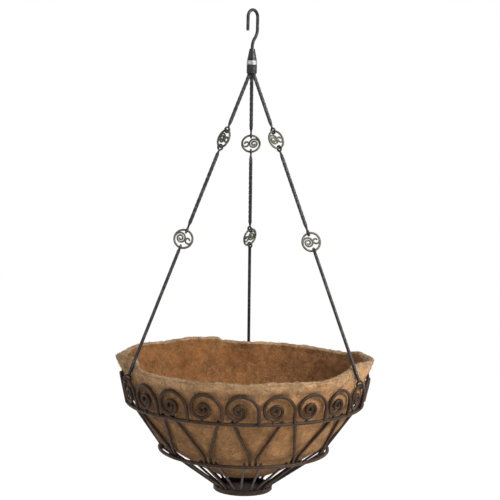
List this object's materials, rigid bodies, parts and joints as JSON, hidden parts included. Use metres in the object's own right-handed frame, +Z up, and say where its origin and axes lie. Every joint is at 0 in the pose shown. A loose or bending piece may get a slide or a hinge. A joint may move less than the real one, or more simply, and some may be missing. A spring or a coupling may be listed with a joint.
{
  "type": "hanging basket",
  "caption": "Scrollwork wire bowl with a moulded coir liner, hung by jointed twisted rods with swirl medallions from a swivel hook.",
  "frame": {"origin": "the hanging point: the inside of the hook's bend, on the axis", "axes": "+Z up along the basket's axis, -Y towards the front scroll, +X to the right seen from the front"},
  "size_m": [0.362, 0.3625, 0.6795],
  "materials": {
    "dark_steel": "dark grey enamel, satin",
    "bright_zinc": "bright zinc plate",
    "rod_steel": "dark grey enamel with worn highlights",
    "aged_medallion": "antique grey-olive enamel",
    "frame_steel": "black-brown enamel",
    "coir": "pressed coconut fibre"
  },
  "bodies": {
    "hanger_hook": {"hook": "dark_steel"},
    "basket": {"swivel_cone": "dark_steel", "swivel_washer": "bright_zinc", "swivel_collar": "dark_steel", "top_rod_left": "rod_steel", "middle_rod_left": "rod_steel", "lower_rod_left": "rod_steel", "top_rod_right": "rod_steel", "middle_rod_right": "rod_steel", "lower_rod_right": "rod_steel", "top_rod_back": "rod_steel", "middle_rod_back": "rod_steel", "lower_rod_back": "rod_steel", "mid_ring": "frame_steel", "low_ring": "frame_steel", "scroll_01": "frame_steel", "scroll_02": "frame_steel", "scroll_03": "frame_steel", "scroll_04": "frame_steel", "scroll_05": "frame_steel", "scroll_06": "frame_steel", "scroll_07": "frame_steel", "scroll_08": "frame_steel", "scroll_09": "frame_steel", "scroll_10": "frame_steel", "scroll_11": "frame_steel", "scroll_12": "frame_steel", "scroll_13": "frame_steel", "scroll_14": "frame_steel", "scroll_15": "frame_steel", "scroll_16": "frame_steel", "scroll_17": "frame_steel", "scroll_18": "frame_steel", "scroll_19": "frame_steel", "scroll_20": "frame_steel", "scroll_21": "frame_steel", "scroll_22": "frame_steel", "strut_pair_01": "frame_steel", "strut_pair_02": "frame_steel", "strut_pair_03": "frame_steel", "strut_pair_04": "frame_steel", "strut_pair_05": "frame_steel", "strut_pair_06": "frame_steel", "strut_pair_07": "frame_steel", "strut_pair_08": "frame_steel", "strut_pair_09": "frame_steel", "strut_pair_10": "frame_steel", "strut_pair_11": "frame_steel", "strut_pair_12": "frame_steel", "base_spokes": "frame_steel", "base_dish": "frame_steel", "liner": "coir"},
    "upper_medallion_left_body": {"upper_medallion_left": "aged_medallion"},
    "lower_medallion_left_body": {"lower_medallion_left": "aged_medallion"},
    "upper_medallion_right_body": {"upper_medallion_right": "aged_medallion"},
    "lower_medallion_right_body": {"lower_medallion_right": "aged_medallion"},
    "upper_medallion_back_body": {"upper_medallion_back": "aged_medallion"},
    "lower_medallion_back_body": {"lower_medallion_back": "aged_medallion"}
  },
  "joints": [
    {"name": "hook_swivel", "type": "hinge", "parent": "hanger_hook", "child": "basket", "pos_m": [0, 0, -0.075], "axis": [0, 0, 1], "continuous": true},
    {"name": "upper_medallion_left_spin", "type": "hinge", "parent": "basket", "child": "upper_medallion_left_body", "pos_m": [-0.03634, -0.0166, -0.17589], "axis": [0.3452, 0.1576, 0.9252], "range_deg": [-30, 30]},
    {"name": "lower_medallion_left_spin", "type": "hinge", "parent": "basket", "child": "lower_medallion_left_body", "pos_m": [-0.08812, -0.04024, -0.31467], "axis": [0.3452, 0.1576, 0.9252], "range_deg": [-30, 30]},
    {"name": "upper_medallion_right_spin", "type": "hinge", "parent": "basket", "child": "upper_medallion_right_body", "pos_m": [0.03634, -0.0166, -0.17589], "axis": [-0.3452, 0.1576, 0.9252], "range_deg": [-30, 30]},
    {"name": "lower_medallion_right_spin", "type": "hinge", "parent": "basket", "child": "lower_medallion_right_body", "pos_m": [0.08812, -0.04024, -0.31467], "axis": [-0.3452, 0.1576, 0.9252], "range_deg": [-30, 30]},
    {"name": "upper_medallion_back_spin", "type": "hinge", "parent": "basket", "child": "upper_medallion_back_body", "pos_m": [0, 0.04318, -0.18376], "axis": [0, -0.3795, 0.9252], "range_deg": [-30, 30]},
    {"name": "lower_medallion_back_spin", "type": "hinge", "parent": "basket", "child": "lower_medallion_back_body", "pos_m": [0, 0.1001, -0.32254], "axis": [0, -0.3795, 0.9252], "range_deg": [-30, 30]}
  ]
}
